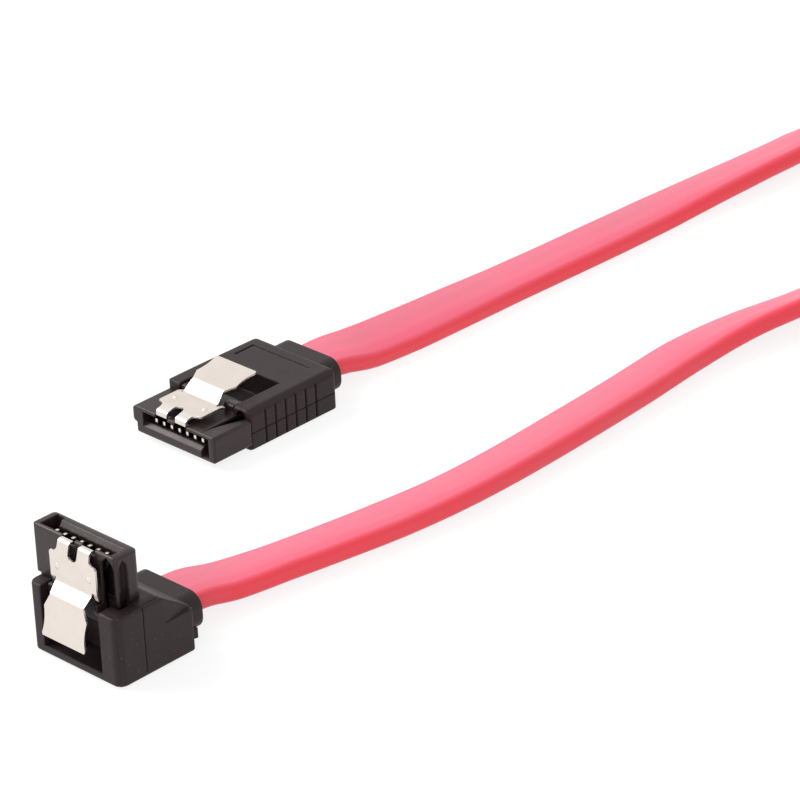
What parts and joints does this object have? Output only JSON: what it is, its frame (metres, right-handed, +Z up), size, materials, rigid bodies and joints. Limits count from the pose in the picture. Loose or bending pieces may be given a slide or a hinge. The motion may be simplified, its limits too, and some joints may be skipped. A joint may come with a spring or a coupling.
{
  "type": "sata data cable",
  "caption": "Flat red data cable with a straight and a right-angle latching plug, for joining a storage drive to a computer board.",
  "frame": {"origin": "on the surface below the middle of the straight plug", "axes": "+Z up from the surface, -Y out of the straight plug's mouth, +X across to the angled plug"},
  "size_m": [0.0702, 0.2496, 0.0142],
  "materials": {
    "nose_plastic": "satin moulded",
    "body_plastic": "fine grained matte",
    "stainless_strip": "bright rolled strip",
    "gold_plate": "plated",
    "red_jacket": "satin soft plastic"
  },
  "bodies": {
    "cable": {"straight_overmould": "body_plastic", "straight_contact_housing": "nose_plastic", "straight_contact_1": "gold_plate", "straight_contact_2": "gold_plate", "straight_contact_3": "gold_plate", "straight_contact_4": "gold_plate", "straight_contact_5": "gold_plate", "straight_contact_6": "gold_plate", "straight_contact_7": "gold_plate", "cable_jacket": "red_jacket", "angled_overmould": "body_plastic", "angled_contact_housing": "nose_plastic", "angled_contact_1": "gold_plate", "angled_contact_2": "gold_plate", "angled_contact_3": "gold_plate", "angled_contact_4": "gold_plate", "angled_contact_5": "gold_plate", "angled_contact_6": "gold_plate", "angled_contact_7": "gold_plate"},
    "straight_latch": {"straight_latch_spring": "stainless_strip"},
    "angled_latch": {"angled_latch_spring": "stainless_strip"}
  },
  "joints": [
    {"name": "straight_latch_press", "type": "hinge", "parent": "cable", "child": "straight_latch", "pos_m": [-0.00028, -0.01061, 0.00442], "axis": [-1, 0, 0], "range_deg": [0, 5], "stiffness_Nm_per_rad": 0.2},
    {"name": "angled_latch_press", "type": "hinge", "parent": "cable", "child": "angled_latch", "pos_m": [0.02686, -0.04899, 0.01377], "axis": [1, 0, 0], "range_deg": [0, 5], "stiffness_Nm_per_rad": 0.2}
  ]
}
